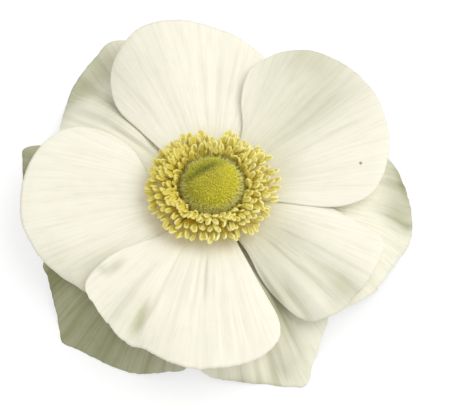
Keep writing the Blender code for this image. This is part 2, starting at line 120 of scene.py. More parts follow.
# --- shapes of the tepals ---------------------------------------------------------------
# centre, claw: azimuth of the narrow inner end and its half width, in degrees.
# base: height of the inner end.  crest: rise just outside it.  drop, bend: fall towards
# the tip and how late it comes.  sides: fall of the first and the second long edge.
# line: the free edge as (azimuth, radius), from the first long edge round the tip to the
# second.  corners: the entries of line where the tip begins and ends.
# folds: radial waves as (azimuth, half width in degrees, height).
# creases: narrow radial waves, in the same form and the radii between which they run.
# wrinkle: strength of the ribs, the dimples and the raggedness of the free edge.
# rag: extra strength of the smallest notches in that edge, 1 where it isn't stated.
# painted shade: patches of painted shade as (azimuth, radius, half width in degrees, half depth,
# amount).
TEPALS = {
    "tepal_inner_top": dict(
        centre=100, claw=34, base=7.9, crest=1.7, drop=1.9, bend=2.0, sides=(1.9, 0.5),
        line=((135.2, 14.5), (134.3, 19.5), (133.6, 25), (131, 28.5), (125, 33.5), (118, 37.3),
              (111, 39.4), (104, 39.3), (96, 38), (86, 35.7), (77, 33.1), (72, 31.5),
              (67, 27.5), (60, 21), (57, 14)),
        corners=(5, 11), folds=((88, 3.5, -0.35), (104, 7, 0.3), (76, 4, -0.3)),
        creases=((94, 0.9, -0.16, 12, 30), (88, 1.0, -0.1, 12, 28), (99, 1.4, 0.1, 11, 26),
                 (107, 1.2, 0.1, 14, 36), (113, 1.2, -0.1, 15, 34), (82, 1.1, -0.1, 14, 32),
                 (124, 1.3, -0.1, 14, 34)),
        wrinkle=1.0, shade=((122, 31, 10, 9, 0.18),)),
    "tepal_inner_right": dict(
        centre=33, claw=34, base=8.65, crest=1.5, drop=-0.9, bend=1.6, sides=(0.1, 1.7),
        line=((66, 13.5), (74, 19.5), (75.5, 23), (74.5, 26.6), (70.5, 29.6), (64, 32.7),
              (55, 35.3), (44, 36.9), (34, 36.6), (25, 35.6), (16, 34.3), (7.6, 32.1),
              (-0.2, 29.2), (-5.1, 24.7), (-7.6, 18), (-7.5, 12.5)),
        corners=(4, 11), folds=((44, 9, -1.1), (59, 5, 0.35), (14, 9, 0.4)),
        creases=((41, 1.1, -0.14, 12, 33), (46, 1.0, -0.12, 14, 34), (36, 1.2, 0.1, 12, 34),
                 (51, 1.2, 0.1, 16, 34), (28, 1.2, -0.1, 13, 33), (21, 1.2, 0.08, 14, 33),
                 (11, 1.3, -0.1, 13, 30), (58, 1.2, -0.1, 14, 32), (3, 1.2, -0.08, 13, 28)),
        wrinkle=0.8, shade=((45, 23, 14, 15, 0.4), (18, 15, 16, 4, 0.25),
                            (56, 34, 9, 5, 0.32), (66, 28, 8, 12, 0.2))),
    "tepal_inner_lower_right": dict(
        centre=325, claw=34, base=7.9, crest=1.5, drop=2.0, bend=1.8, sides=(1.0, 1.5),
        line=((-2, 14), (-4, 20), (-8.5, 25), (-11, 28.2), (-13, 31.5), (-16.5, 33),
              (-22, 33.3), (-30, 33.3), (-37, 33), (-45, 33), (-52, 31.8),
              (-55.5, 30), (-58, 27.6), (-60.5, 23.2), (-62, 19), (-61, 12.7)),
        corners=(5, 11), folds=((-27, 5, 0.3), (-37, 4.5, -0.35), (-50, 5, 0.4)),
        creases=((-54.5, 1.5, -0.35, 20, 32), (-49, 2.2, 0.55, 20, 34), (-58.5, 1.2, 0.2, 16, 31),
                 (-36, 1.2, -0.22, 19, 35), (-40.5, 1.3, 0.2, 18, 35), (-30, 1.0, -0.14, 12, 31),
                 (-43.5, 0.9, -0.16, 12, 30), (-24, 1.1, 0.08, 13, 33), (-17, 1.1, -0.08, 13, 32)),
        wrinkle=1.0, shade=((-56, 21, 6, 9, 0.3), (-35, 27, 12, 9, 0.2), (-38, 31, 4, 4, 0.4),
                            (-44, 15, 9, 4, 0.24), (-44, 23, 6, 6, 0.2), (-46, 32, 4, 3, 0.2),
                            (-61, 24, 4, 6, 0.35), (-30, 16, 16, 5, 0.3))),
    "tepal_inner_bottom": dict(
        centre=264, claw=34, base=8.65, crest=1.2, drop=1.2, bend=1.8, sides=(1.2, -0.2),
        line=((-65, 12), (-64.5, 18), (-64, 23), (-64, 27.2), (-65, 29.5),
              (-67.5, 31.5), (-73, 33.5), (-81, 34.6), (-90, 35.1), (-97, 35.2),
              (-104, 34.5), (-111, 33.7), (-117, 33.8), (-124, 32.8), (-133, 31.2),
              (-140.5, 30), (-143, 28), (-145, 23), (-143.5, 18.5), (-137, 13)),
        corners=(4, 14), folds=((-116, 3, -0.4), (-124, 5, 0.4), (-96, 4, -0.25)),
        creases=((-117.5, 1.5, -0.7, 23, 32), (-113.6, 1.2, 0.6, 21, 32), (-94, 0.8, -0.4, 11, 22),
                 (-99, 1.0, -0.16, 11, 24), (-105, 1.1, -0.14, 12, 28), (-85, 1.2, -0.14, 16, 34),
                 (-88, 1.2, 0.1, 14, 34), (-126, 1.4, -0.2, 16, 33), (-77, 1.2, -0.08, 13, 30)),
        wrinkle=0.9, rag=2.2, shade=((-139, 23.2, 2.2, 2.0, 0.5), (-142, 25.5, 3, 0.8, 0.3),
                                     (-113, 32, 16, 5, 0.15), (-122, 27, 9, 6, 0.12))),
    "tepal_inner_left": dict(
        centre=182, claw=34, base=7.9, crest=1.5, drop=2.4, bend=1.7, sides=(1.0, 0.9),
        line=((233, 14), (231, 19), (225.5, 25.5), (221, 29.5), (215, 30.6), (209.5, 31.9),
              (202, 33.5), (195, 34.6), (188, 35.5), (181, 35.6), (173, 35.3),
              (167, 34.8), (160, 33.8), (154, 32.3), (149, 29.5), (146, 25.5),
              (145, 20.6), (147, 17.5), (152, 15), (159, 12.5)),
        corners=(5, 13), folds=((168, 8, 0.25), (196, 5, -0.2)),
        creases=((180, 1.1, -0.08, 11, 28), (190, 1.1, -0.08, 11, 28), (171, 1.1, -0.08, 11, 26),
                 (201, 1.2, -0.08, 12, 26), (212, 1.2, -0.1, 13, 28), (186, 1.2, 0.06, 12, 30)),
        wrinkle=0.5, shade=((217, 27, 9, 7, 0.42), (203, 32, 8, 4, 0.16))),
    "tepal_outer_upper_left": dict(
        centre=136, claw=30, base=7.1, crest=0.55, drop=7.75, bend=3.0, sides=(-0.4, 0.6),
        line=((160, 14), (162, 22), (157, 29.5), (150, 33.3), (143, 35.3), (137, 37.4),
              (130, 39.3), (123, 40.9), (118, 42.3), (113, 41), (108, 38.3),
              (106, 30.5), (113, 20)),
        corners=(3, 10), folds=((126, 7, -0.8), (139, 6, 0.7)),
        creases=((141, 1.6, -0.3, 11, 33), (131, 1.4, -0.15, 14, 40), (136, 1.4, 0.15, 14, 36),
                 (124, 1.2, -0.12, 20, 42), (150, 1.4, -0.12, 14, 33)),
        wrinkle=0.8, shade=((136, 37.5, 13, 4, 0.6), (121, 40, 7, 4, 0.35),
                            (134, 27, 6, 5, 0.25), (131, 22, 6, 9, 0.15))),
    "tepal_outer_left": dict(
        centre=175, claw=30, base=6.35, crest=0.6, drop=8.2, bend=3.0, sides=(0.6, 0.6),
        line=((197, 16), (196, 25), (189, 31), (183, 33.5), (176, 35.5),
              (167, 36.6), (162, 37.7), (158.5, 38.4), (155.5, 36), (153, 28),
              (155, 16)),
        corners=(2, 8), folds=((170, 8, 0.5),),
        creases=((166, 1.4, -0.1, 20, 40), (160, 1.2, -0.1, 20, 40)),
        wrinkle=0.8, shade=((165, 35, 30, 20, 0.75),)),
    "tepal_outer_lower_left": dict(
        centre=229, claw=30, base=7.1, crest=0.7, drop=7.9, bend=3.2, sides=(0.4, 0.4),
        line=((262, 16), (265, 24), (265, 29.6), (261.5, 32.8), (257, 33.6), (251, 34.7),
              (245, 35.5), (240, 35.8), (235, 36.2), (229, 36.7), (223.5, 37.8),
              (220, 36.6), (215, 35.1), (210, 34.1), (205, 33.4), (199, 33), (195, 25),
              (198, 16)),
        corners=(3, 15), folds=((214, 7, 0.6), (240, 8, -0.5), (252, 5, 0.4)),
        creases=((222, 1.2, -0.15, 18, 40), (229, 1.2, 0.1, 18, 38), (236, 1.3, -0.12, 18, 38),
                 (243, 1.2, 0.1, 18, 38), (250, 1.2, -0.14, 18, 36), (257, 1.2, 0.1, 18, 36)),
        wrinkle=0.8, shade=((228, 34, 50, 30, 0.78), (205, 33, 7, 5, 0.3))),
    "tepal_outer_lower_right": dict(
        centre=291, claw=30, base=6.35, crest=0.6, drop=7.6, bend=3.6, sides=(0.9, 0.6),
        line=((321, 16), (318, 26), (313.5, 31), (310, 32.1), (307, 33.2),
              (304, 34.5), (300.5, 36), (297.5, 38.2), (295.5, 38.8), (292, 37.7),
              (287, 36.1), (281, 35), (274, 34.1), (269, 33.4), (265.8, 32.3),
              (263, 29), (266, 22), (265, 15)),
        corners=(2, 14), folds=((288, 3.5, -0.9), (295, 4, 0.8), (278, 5, 0.4)),
        creases=((289, 1.0, -0.22, 24, 40), (284.5, 1.0, -0.25, 24, 38), (279, 1.0, -0.2, 24, 37),
                 (293, 1.2, 0.25, 24, 40), (299, 1.2, -0.12, 20, 38), (304, 1.2, 0.1, 20, 36),
                 (273, 1.0, -0.15, 24, 36)),
        wrinkle=0.9, shade=((277, 36, 10, 2, 0.5), (289, 36, 2, 5, 0.2),
                            (298, 24, 5, 8, 0.7), (294, 35, 2.5, 4, 0.25))),
    "tepal_outer_right": dict(
        centre=343, claw=30, base=7.1, crest=0.5, drop=7.5, bend=4.4, sides=(0.2, -0.3),
        line=((23, 16), (24, 26), (22.5, 33), (18, 35.6), (12, 36.5), (4, 37.1),
              (-4.5, 37.5), (-10, 37.1), (-15, 35.9), (-20, 35.2), (-26, 34.6),
              (-31, 34), (-38, 32.8), (-42, 31.9), (-46, 31), (-48, 25), (-46, 15)),
        corners=(2, 14), folds=((-6, 4, -0.4), (5, 6, 0.5), (-14, 6, 0.5)),
        creases=((-3.5, 1.0, -0.14, 28, 40), (2, 1.4, 0.15, 20, 38), (-12, 1.2, -0.15, 18, 38),
                 (9, 1.2, -0.12, 20, 38), (-20, 1.2, 0.12, 20, 37), (-28, 1.2, -0.14, 20, 36),
                 (-36, 1.2, 0.1, 20, 35), (15, 1.2, -0.1, 20, 37)),
        wrinkle=0.9, shade=((9, 36, 14, 5, 0.48), (14, 37.5, 9, 2, 0.4),
                            (-4, 36.8, 1.6, 1.5, 0.25), (-1.5, 34.5, 4, 3, 0.3))),
}


# --- small helpers ----------------------------------------------------------------------
def limit(value):
    return max(0.0, min(1.0, value))


def ease(value):
    """Smooth step from 0 to 1, while value goes from 0 to 1."""
    value = limit(value)
    return value * value * (3.0 - 2.0 * value)


def bell(distance):
    """Bell curve: 1 at no distance and 0.37 at a distance of 1."""
    return math.exp(-distance * distance)


def polar(azimuth, radius):
    """Plan position of a point at an azimuth in degrees."""
    angle = math.radians(azimuth)
    return (radius * math.cos(angle), radius * math.sin(angle))


def turn(azimuth, centre):
    """Signed angle in degrees from centre to azimuth."""
    return (azimuth - centre + 180.0) % 360.0 - 180.0


def bearing(place):
    """Azimuth in degrees of a plan position."""
    return math.degrees(math.atan2(place.y, place.x))


def jitter(rng, size):
    """A random vector, up to size along each axis."""
    return Vector((rng.uniform(-1, 1), rng.uniform(-1, 1), rng.uniform(-1, 1))) * size


# --- materials --------------------------------------------------------------------------
def srgb(red, green, blue):
    """Linear colour from display values of 0 to 255."""
    linear = []
    for value in (red, green, blue):
        c = value / 255
        linear.append(c / 12.92 if c <= 0.04045 else ((c + 0.055) / 1.055) ** 2.4)
    return (*linear, 1.0)


class Nodes:
    """Short calls for building a node tree."""

    def __init__(self, name):
        self.mat = bpy.data.materials.new(name)
        self.mat.use_nodes = True
        self.tree = self.mat.node_tree
        self.shader = self.tree.nodes["Principled BSDF"]

    def add(self, kind, inputs=None, **settings):
        node = self.tree.nodes.new(kind)
        for key, value in settings.items():
            setattr(node, key, value)
        for key, value in (inputs or {}).items():
            self.put(node.inputs[key], value)
        return node

    def put(self, socket, value):
        if isinstance(value, bpy.types.NodeSocket):
            self.tree.links.new(value, socket)
        else:
            socket.default_value = value

    def attribute(self, name, output="Fac"):
        return self.add("ShaderNodeAttribute", attribute_name=name).outputs[output]

    def place(self):
        return self.add("ShaderNodeTexCoord").outputs["Object"]

    def maths(self, operation, a, b=0.0, clamp=False):
        node = self.add("ShaderNodeMath", {0: a, 1: b}, operation=operation)
        node.use_clamp = clamp
        return node.outputs[0]

    def mix(self, factor, a, b):
        node = self.add("ShaderNodeMix", data_type="RGBA")
        self.put(node.inputs[0], factor)
        self.put(node.inputs[6], a)
        self.put(node.inputs[7], b)
        return node.outputs[2]

    def span(self, value, low, high, top=1.0):
        """value taken from the range low..high to 0..top."""
        node = self.add("ShaderNodeMapRange", {0: value, 1: low, 2: high, 3: 0.0, 4: top})
        return node.outputs[0]

    def noise(self, vector, scale, detail):
        node = self.add("ShaderNodeTexNoise",
                        {"Vector": vector, "Scale": scale, "Detail": detail})
        return node.outputs[0]

    def stretch(self, vector, scale):
        node = self.add("ShaderNodeMapping", {"Vector": vector, "Scale": scale})
        return node.outputs[0]

    def bump(self, height, distance, strength):
        node = self.add("ShaderNodeBump", {"Height": height, "Distance": distance,
                                           "Strength": strength})
        self.put(self.shader.inputs["Normal"], node.outputs[0])


def petal_material(name, light, dark, foot, speck=None):
    """Veined petal; speck is the plan position of a small brown blemish, if it has one.

    The "grain" attribute holds the bearing and the radius, so noise that is stretched
    along its second value makes radial veins.
    """
    n = Nodes(name)
    place = n.place()
    grain = n.attribute("grain", "Vector")
    veins = n.noise(n.stretch(grain, (34, 2.6, 1)), 1.0, 4.0)
    threads = n.noise(n.stretch(grain, (110, 7.0, 1)), 1.0, 3.0)
    mottle = n.noise(place, 420.0, 3.0)
    lines = n.noise(n.stretch(grain, (30, 1.7, 1)), 1.0, 1.5)
    lines = n.maths("ABSOLUTE", n.maths("SUBTRACT", lines, 0.5))
    # Painted shade from the attribute: shadows cast by the tepals above and by the stamens,
    # creases, and tepals that lie in shade, with some of the outer tepals' own greener tint; the
    # noise adds veins and mottling.
    total = n.maths("ADD", n.attribute("shade"), n.span(veins, 0.45, 0.72, 0.07))
    total = n.maths("ADD", total, n.span(lines, 0.05, 0.0, 0.1))
    total = n.maths("ADD", total, n.span(mottle, 0.45, 0.75, 0.05), clamp=True)
    colour = n.mix(total, light, dark)
    colour = n.mix(n.attribute("foot"), colour, foot)
    if speck:
        plan = n.add("ShaderNodeVectorMath", {0: place, 1: (1.0, 1.0, 0.0)},
                     operation="MULTIPLY").outputs["Vector"]
        gap = n.add("ShaderNodeVectorMath", {0: plan, 1: speck},
                    operation="DISTANCE").outputs["Value"]
        near = n.span(gap, SPECK_SIZE * MM, 0.4 * SPECK_SIZE * MM, 0.8)
        colour = n.mix(near, colour, srgb(128, 112, 96))
    n.put(n.shader.inputs["Base Color"], colour)
    rough = n.maths("ADD", n.maths("MULTIPLY", threads, 0.12), 0.5)
    n.put(n.shader.inputs["Roughness"], rough)
    n.shader.inputs["Specular IOR Level"].default_value = 0.25
    n.bump(n.maths("ADD", veins, n.maths("MULTIPLY", threads, 0.5)), 0.12 * MM, 0.6)
    return n.mat


def anther_material():
    n = Nodes("anther_yellow")
    pollen = n.noise(n.place(), 5200.0, 2.0)
    colour = n.mix(n.attribute("tone"), srgb(224, 204, 40), srgb(255, 251, 176))
    # Painted shade: the groove between the two lobes is darker.
    groove = n.maths("MULTIPLY", n.attribute("groove"), 0.8)
    colour = n.mix(groove, colour, srgb(208, 184, 38))
    colour = n.mix(n.span(pollen, 0.5, 0.75, 0.25), colour, srgb(255, 246, 190))
    colour = n.mix(n.attribute("thread"), colour, srgb(240, 218, 76))
    n.put(n.shader.inputs["Base Color"], colour)
    n.shader.inputs["Roughness"].default_value = 0.55
    n.shader.inputs["Specular IOR Level"].default_value = 0.3
    n.bump(pollen, 0.04 * MM, 0.7)
    return n.mat


def dome_material():
    n = Nodes("carpel_green")
    speck = n.noise(n.place(), 2600.0, 2.0)
    tip = n.attribute("tip")
    # tone holds painted light, lighter on the dome's lower right side, plus the buds' own random
    # tone.
    colour = n.mix(n.attribute("tone"), srgb(190, 188, 56), srgb(246, 240, 64))
    colour = n.mix(n.span(speck, 0.4, 0.65, 0.25), colour, srgb(178, 172, 44))
    colour = n.mix(n.span(tip, 0.5, 1.0, 0.4), colour, srgb(236, 230, 130))
    # Painted shade: the buds' feet, in the gaps between them, are darker.
    colour = n.mix(n.span(tip, 0.35, 0.0), colour, srgb(198, 190, 56))
    # Painted shade: the furrow behind the dome's crest is darkened.
    furrow_shade = n.maths("MULTIPLY", n.attribute("shade"), 0.75)
    colour = n.mix(furrow_shade, colour, srgb(106, 118, 30))
    # The pale fringe of hairs, with painted light: palest on the dome's lower right side.
    colour = n.mix(n.attribute("fringe"), colour, srgb(255, 250, 160))
    n.put(n.shader.inputs["Base Color"], colour)
    n.shader.inputs["Roughness"].default_value = 0.7
    n.bump(speck, 0.1 * MM, 0.8)
    return n.mat


def hair_material():
    n = Nodes("carpel_hair")
    colour = n.mix(n.attribute("tone"), srgb(255, 242, 92), srgb(255, 252, 158))
    # Painted shade: hairs in the furrow behind the dome's crest are darkened.
    furrow_shade = n.maths("MULTIPLY", n.attribute("shade"), 0.6)
    colour = n.mix(furrow_shade, colour, srgb(130, 140, 46))
    n.put(n.shader.inputs["Base Color"], colour)
    n.shader.inputs["Roughness"].default_value = 0.6
    return n.mat


def stalk_material():
    n = Nodes("stalk_green")
    streak = n.noise(n.stretch(n.place(), (1800, 1800, 160)), 1.0, 3.0)
    colour = n.mix(n.span(streak, 0.35, 0.7), srgb(118, 140, 74), srgb(168, 176, 120))
    n.put(n.shader.inputs["Base Color"], colour)
    n.shader.inputs["Roughness"].default_value = 0.6
    n.bump(streak, 0.1 * MM, 0.7)
    return n.mat


# --- meshes -----------------------------------------------------------------------------
def add_object(name, data):
    obj = bpy.data.objects.new(name, data)
    bpy.context.scene.collection.objects.link(obj)
    return obj


class Builder:
    """Collects vertices in millimetres, faces and per-vertex values of one piece."""

    def __init__(self, *values):
        self.verts = []
        self.faces = []
        self.values = {name: [] for name in values}

    def vert(self, place, **values):
        """Add a vertex and return its number."""
        self.verts.append(Vector(place) * MM + AXIS)
        for name, column in self.values.items():
            column.append(values.get(name, 0.0))
        return len(self.verts) - 1

    def tube(self, rings, cap_end=True):
        """Join rings of vertex numbers, which all have the same length, and close them."""
        for lower, upper in zip(rings, rings[1:]):
            count = len(lower)
            for k in range(count):
                m = (k + 1) % count
                self.faces.append((lower[k], lower[m], upper[m], upper[k]))
        self.faces.append(tuple(reversed(rings[0])))
        if cap_end:
            self.faces.append(tuple(rings[-1]))

    def make_object(self, name, material, replaces=()):
        """Make the object, with the given material, in place of the named CAD nodes."""
        mesh = bpy.data.meshes.new(name)
        mesh.from_pydata(self.verts, [], self.faces)
        mesh.validate()
        for key, column in self.values.items():
            if column and isinstance(column[0], tuple):
                layer = mesh.attributes.new(key, "FLOAT_VECTOR", "POINT")
                layer.data.foreach_set("vector", [c for value in column for c in value])
            else:
                layer = mesh.attributes.new(key, "FLOAT", "POINT")
                layer.data.foreach_set("value", column)
        mesh.polygons.foreach_set("use_smooth", [True] * len(mesh.polygons))
        mesh.materials.append(material)
        obj = add_object(name, mesh)
        if replaces:
            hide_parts(*replaces)
        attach(obj, "root")


def curve_through(points, steps=12):
    """Centripetal Catmull-Rom curve, as one list of samples per span between points."""
    pts = [Vector(p) for p in points]
    pts = [2 * pts[0] - pts[1]] + pts + [2 * pts[-1] - pts[-2]]
    spans = []
    for i in range(1, len(pts) - 2):
        p0, p1, p2, p3 = pts[i - 1:i + 3]
        t1 = math.sqrt((p1 - p0).length)
        t2 = t1 + math.sqrt((p2 - p1).length)
        t3 = t2 + math.sqrt((p3 - p2).length)
        span = []
        for k in range(steps + 1):
            t = t1 + (t2 - t1) * k / steps
            a1 = p0 * ((t1 - t) / t1) + p1 * (t / t1)
            a2 = p1 * ((t2 - t) / (t2 - t1)) + p2 * ((t - t1) / (t2 - t1))
            a3 = p2 * ((t3 - t) / (t3 - t2)) + p3 * ((t - t2) / (t3 - t2))
            b1 = a1 * ((t2 - t) / t2) + a2 * (t / t2)
            b2 = a2 * ((t3 - t) / (t3 - t1)) + a3 * ((t - t1) / (t3 - t1))
            span.append(b1 * ((t2 - t) / (t2 - t1)) + b2 * ((t - t1) / (t2 - t1)))
        spans.append(span)
    return spans


def even_samples(spans, count):
    """Points at even distances along joined spans."""
    line = [spans[0][0]]
    for span in spans:
        line.extend(span[1:])
    lengths = [0.0]
    for a, b in zip(line, line[1:]):
        lengths.append(lengths[-1] + (b - a).length)
    result = []
    j = 0
    for i in range(count + 1):
        want = lengths[-1] * i / count
        while j < len(line) - 2 and lengths[j + 1] < want:
            j += 1
        part = (want - lengths[j]) / max(1e-9, lengths[j + 1] - lengths[j])
        result.append(line[j].lerp(line[j + 1], min(1.0, part)))
    return result


# --- tepals -----------------------------------------------------------------------------
def tepal_grid(shape):
    """Plan positions of a tepal's grid: rows from the inner end to the tip."""
    side = 1.0 if turn(shape["line"][0][0], shape["centre"]) > 0 else -1.0
    first = polar(shape["centre"] + side * shape["claw"], TEPAL_R0)
    last = polar(shape["centre"] - side * shape["claw"], TEPAL_R0)
    points = [first] + [polar(*p) for p in shape["line"]] + [last]
    spans = curve_through(points)
    a, b = shape["corners"]
    edge_a = even_samples(spans[:a + 1], TEPAL_ALONG)
    tip = even_samples(spans[a + 1:b + 1], TEPAL_ACROSS)
    edge_b = even_samples(spans[b + 1:], TEPAL_ALONG)[::-1]
    foot = []
    for i in range(TEPAL_ACROSS + 1):
        part = 1.0 - 2.0 * i / TEPAL_ACROSS
        foot.append(Vector(polar(shape["centre"] + side * shape["claw"] * part, TEPAL_R0)))
    rows = []
    for j in range(TEPAL_ALONG + 1):
        v = j / TEPAL_ALONG
        row = []
        for i in range(TEPAL_ACROSS + 1):
            u = i / TEPAL_ACROSS
            ruled = foot[i] * (1 - v) + tip[i] * v + edge_a[j] * (1 - u) + edge_b[j] * u
            corners = (foot[0] * ((1 - u) * (1 - v)) + foot[-1] * (u * (1 - v))
                       + tip[0] * ((1 - u) * v) + tip[-1] * (u * v))
            row.append((ruled - corners, u, v))
        rows.append(row)
    return rows


def ragged(shape, place, v):
    """Move a point near the tip in or out a little, so that the free edge isn't even."""
    azimuth = bearing(place)
    seed = shape["centre"]
    shift = RAG_COARSE * noise.noise(Vector((azimuth * 0.22, seed, 0.0)))
    fine = RAG_FINE * shape.get("rag", 1.0)
    shift += fine * noise.noise(Vector((azimuth * 0.7, seed, 3.0)))
    return place * (1.0 + shape["wrinkle"] * shift * v ** 4 / place.length)


def tepal_height(shape, place, u, v):
    """Height of a tepal's middle surface."""
    radius = place.length
    azimuth = bearing(place)
    height = shape["base"] + shape["crest"] * ease((radius - TEPAL_R0) / CREST_RUN)
    height -= shape["drop"] * (max(0.0, radius - DROP_START) / DROP_RUN) ** shape["bend"]
    across = 2.0 * u - 1.0
    side = shape["sides"][0] if across < 0 else shape["sides"][1]
    height -= side * abs(across) ** 2.5 * ease(v * 1.5)
    for where, width, rise in shape["folds"]:
        grow = ease((radius - FOLD_START) / FOLD_RUN)
        height += rise * bell(turn(azimuth, where) / width) * grow
    for rise, near in crease_nearness(shape, azimuth, radius):
        height += rise * near
    height += shape["wrinkle"] * wrinkles(azimuth, radius, shape["centre"])
    over = (height - REST) / REST_BLEND
    return REST + REST_BLEND * (math.log1p(math.exp(over)) if over < 30 else over)


def crease_nearness(shape, azimuth, radius):
    """Each crease's height, with how near the point is to its line, 0 to 1."""
    for where, width, rise, start, end in shape["creases"]:
        along = ease((radius - start) / 5.0) * ease((end + 2.0 - radius) / 5.0)
        yield rise, bell(turn(azimuth + wobble(radius, where), where) / width) * along


def wobble(radius, seed):
    """A crease's drift to either side along its length, in degrees."""
    return 1.2 * noise.noise(Vector((radius * 0.12, seed, 0.0)))


def wrinkles(azimuth, radius, seed):
    """Fine radial ribs and soft dimples, which grow from the middle outwards."""
    grow = ease((radius - WRINKLE_START) / WRINKLE_RUN)
    ribs = 0.07 * noise.noise(Vector((azimuth * 0.42, radius * 0.10, seed)))
    ribs += 0.035 * noise.noise(Vector((azimuth * 1.0, radius * 0.16, seed + 5)))
    x, y = polar(azimuth, radius)
    dimples = 0.2 * noise.noise(Vector((x * 0.11, y * 0.11, seed)))
    dimples += 0.03 * noise.noise(Vector((x * 0.5, y * 0.5, seed)))
    return grow * (ribs + dimples)


def tepal_shade(shape, place):
    """How much painted shade the tepal has at this place, from its patches and its creases."""
    radius = place.length
    azimuth = bearing(place)
    total = 0.0
    for where, far, wide, deep, amount in shape["shade"]:
        total += amount * bell(turn(azimuth, where) / wide) * bell((radius - far) / deep)
    for rise, near in crease_nearness(shape, azimuth, radius):
        total += max(0.0, -rise) * near * CREASE_SHADE
    return total


def make_tepal(name, shape, material):
    """A closed sheet: an upper and a lower grid, joined by a band round the edge."""
    piece = Builder("grain", "shade", "foot")
    top, low = [], []
    for row in tepal_grid(shape):
        top_row, low_row = [], []
        for place, u, v in row:
            place = ragged(shape, place, v)
            middle = tepal_height(shape, place, u, v)
            inside = ease(min(u, 1 - u, 1 - v) / RIM_PART)
            half = 0.5 * (TEPAL_RIM + (TEPAL_THICK - TEPAL_RIM) * inside)
            aside = turn(bearing(place), shape["centre"])
            values = dict(grain=(aside / 60, place.length / 40, shape["centre"] * 0.1),
                          shade=tepal_shade(shape, place),
                          foot=1.0 - ease((place.length - TINT_START) / TINT_RUN))
            top_row.append(piece.vert((place.x, place.y, middle + half), **values))
            low_row.append(piece.vert((place.x, place.y, middle - half), **values))
        top.append(top_row)
        low.append(low_row)
    for j in range(TEPAL_ALONG):
        for i in range(TEPAL_ACROSS):
            piece.faces.append((top[j][i], top[j][i + 1], top[j + 1][i + 1], top[j + 1][i]))
            piece.faces.append((low[j][i], low[j + 1][i], low[j + 1][i + 1], low[j][i + 1]))
    ring = [(0, i) for i in range(TEPAL_ACROSS)]
    ring += [(j, TEPAL_ACROSS) for j in range(TEPAL_ALONG)]
    ring += [(TEPAL_ALONG, i) for i in range(TEPAL_ACROSS, 0, -1)]
    ring += [(j, 0) for j in range(TEPAL_ALONG, 0, -1)]
    for (j0, i0), (j1, i1) in zip(ring, ring[1:] + ring[:1]):
        piece.faces.append((top[j1][i1], top[j0][i0], low[j0][i0], low[j1][i1]))
    piece.make_object(name.replace("tepal", "petal"), material, [name])


# --- receptacle -------------------------------------------------------------------------
def make_receptacle(material):
    """A ribbed stem stub which widens into a cup: profile has its radii and heights."""
    profile = ((0.02, 0), (1.35, 0), (1.6, 0.12), (1.6, 1.8), (1.68, 3.6), (2.6, 4.7),
               (3.7, 5.3), (4.3, 5.75), (4.5, 6.2), (4.5, 9.0), (5.2, 9.15), (6.6, 9.2),
               (6.75, 9.35), (6.7, 9.55), (6.4, 9.6), (0.02, 9.6))
    sides, ribs, rib_depth = 72, 9, 0.035
    piece = Builder()
    rings = []
    for radius, height in profile:
        ring = []
        for k in range(sides):
            angle = 2 * math.pi * k / sides
            rib = 1.0 + rib_depth * math.cos(ribs * angle) * bell((height - 2.0) / 2.5)
            ring.append(piece.vert((radius * rib * math.cos(angle),
                                    radius * rib * math.sin(angle), height)))
        rings.append(ring)
    piece.tube(rings)
    piece.make_object("receptacle_and_cut_stem", material, [RECEPTACLE])


# --- dome -------------------------------------------------------------------------------
def dome_point(angle, rise):
    """Point on the dome: rise is -1 at its foot, 0 at its widest and 1 at its top."""
    if rise < 0:
        radius = DOME_R * (1.0 - 0.2 * rise * rise)
        radius += COLLAR * bell((rise + 0.26) / 0.17) * ease(0.6 - 0.5 * math.sin(angle))
        height = DOME_WIDE + (DOME_WIDE - DOME_LOW) * rise
    else:
        radius = DOME_R * math.cos(rise * math.pi / 2) ** 0.85
        height = DOME_WIDE + (DOME_TOP - BUD_ROOM - DOME_WIDE) * math.sin(rise * math.pi / 2)
    place = Vector((radius * math.cos(angle), radius * math.sin(angle), height))
    across = across_crest(place)
    sink = FURROW_DEPTH * bell((across - FURROW_AT) / 0.8)
    sink -= CREST_RISE * bell((across - CREST_AT) / 0.9)
    sink *= ease((height - DOME_WIDE) / 2.0)
    return place - dome_outward(place) * sink


def dome_outward(place):
    """Direction in which a bud or a hair stands on the dome."""
    return (place - Vector((0, 0, DOME_WIDE - 1.0))).normalized()


def across_crest(place):
    """Distance from the axis measured across the dome's crest, towards its far side."""
    return 0.9 * place.y - 0.44 * place.x


def dome_shade(place):
    """How much painted shade a point on the dome gets in the furrow behind its crest, which lies
    in shade.
    """
    band = bell(across_crest(place) - FURROW_AT) * ease((place.z - 13.3) / 1.5)
    return band * bell((place.x + 1.2) / 3.4)


def dome_fringe(place):
    """How pale a point low on the dome is, for its pale fringe of hairs; painted light makes it
    palest on the lower right side.
    """
    side = (0.64 * place.x - 0.77 * place.y) / DOME_R
    return ease((14.5 - place.z) / 1.7) * max(0.25, min(1.0, 0.55 + 0.5 * side))


def dome_painted_light(place):
    """Painted light on the dome, 0 to 1: its lower right side is made lighter and yellower."""
    return limit(0.4 + 0.13 * (place.x - 0.5 * place.y))


def spire(piece, root, way, thick, long, rings, values):
    """A pointed bud or hair: rings are (part of its length, part of its thickness)."""
    side = way.orthogonal().normalized()
    other = way.cross(side)
    sides = len(rings) + 2
    loops = []
    for part, wide in rings:
        loop = []
        for k in range(sides):
            angle = 2 * math.pi * k / sides
            offset = (side * math.cos(angle) + other * math.sin(angle)) * thick * wide
            loop.append(piece.vert(root + way * long * part + offset,
                                   tip=part, **values))
        loops.append(loop)
    piece.tube(loops, cap_end=False)
    point = piece.vert(root + way * long, tip=1.0, **values)
    for k in range(sides):
        piece.faces.append((loops[-1][k], loops[-1][(k + 1) % sides], point))


